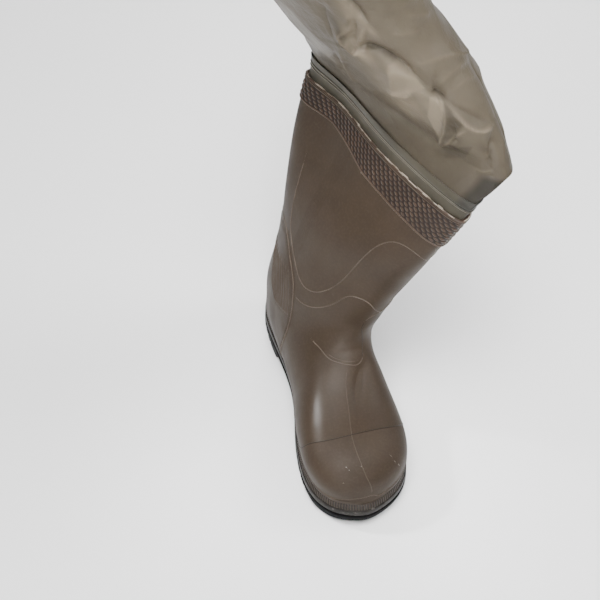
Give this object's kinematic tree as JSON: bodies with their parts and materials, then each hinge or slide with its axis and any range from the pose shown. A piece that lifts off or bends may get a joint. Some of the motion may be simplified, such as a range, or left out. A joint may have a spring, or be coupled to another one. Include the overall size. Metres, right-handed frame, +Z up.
{
  "type": "wader boot",
  "caption": "Moulded boot foot of a wader for the left foot, with lugged sole, creased shaft, embossed collar band and the slack cloth leg glued into the collar",
  "frame": {"origin": "on the floor under the middle of the heel", "axes": "+Z up, -Y towards the toe, +X towards the outer side of the left foot"},
  "size_m": [0.201, 0.3208, 0.5601],
  "materials": {
    "sole_black": "matte black moulded sole",
    "foxing_brown": "satin brown moulded PVC",
    "boot_brown": "satin brown moulded PVC with fine grain",
    "insole_grey": "felt",
    "tape_grey": "dull sealing tape",
    "cloth_olive": "coated cloth with a satin sheen"
  },
  "bodies": {
    "root": {"outsole": "sole_black", "welt": "foxing_brown", "upper": "boot_brown", "insole": "insole_grey", "joint_tape": "tape_grey", "leg": "cloth_olive"}
  },
  "joints": []
}
